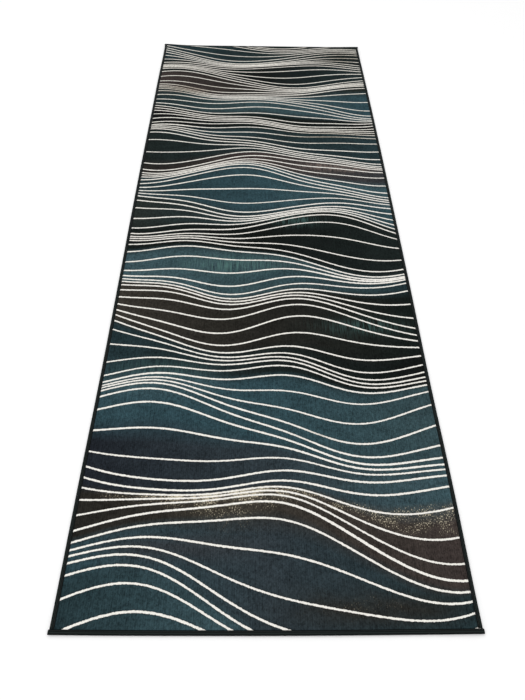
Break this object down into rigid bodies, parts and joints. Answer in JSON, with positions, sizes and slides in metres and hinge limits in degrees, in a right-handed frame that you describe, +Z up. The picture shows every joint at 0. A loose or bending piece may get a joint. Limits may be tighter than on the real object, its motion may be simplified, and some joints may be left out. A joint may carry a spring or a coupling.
{
  "type": "runner rug",
  "caption": "Long narrow floor runner: printed low pile on bonded cloth, felt and dotted grip layers, its edges bound with stitched tape.",
  "frame": {"origin": "on the floor, under the middle of the rug", "axes": "+X across the rug towards its right edge, +Y along the rug towards its far end, +Z up out of the pile"},
  "size_m": [0.766, 2.134, 0.0052],
  "materials": {
    "printed_pile": "matt short polyester pile printed with cream wave lines on teal, green-black and brown-black bands",
    "ground_cloth": "matt knitted polyester",
    "membrane": "satin waterproof film",
    "felt": "matt needled polyester felt",
    "grip_rubber": "satin dotted thermoplastic rubber",
    "binding_tape": "matt ribbed polyester tape",
    "thread": "slightly lustrous bonded polyester thread",
    "label_satin": "satin woven polyester, blank"
  },
  "bodies": {
    "root": {"printed_pile": "printed_pile", "ground_cloth": "ground_cloth", "waterproof_membrane": "membrane", "felt_back": "felt", "grip_coat": "grip_rubber", "binding_left": "binding_tape", "binding_right": "binding_tape", "binding_near_end": "binding_tape", "binding_far_end": "binding_tape", "needle_thread_left": "thread", "needle_thread_right": "thread", "needle_thread_near_end": "thread", "needle_thread_far_end": "thread", "bobbin_thread_left": "thread", "bobbin_thread_right": "thread", "bobbin_thread_near_end": "thread", "bobbin_thread_far_end": "thread", "care_label": "label_satin"}
  },
  "joints": []
}
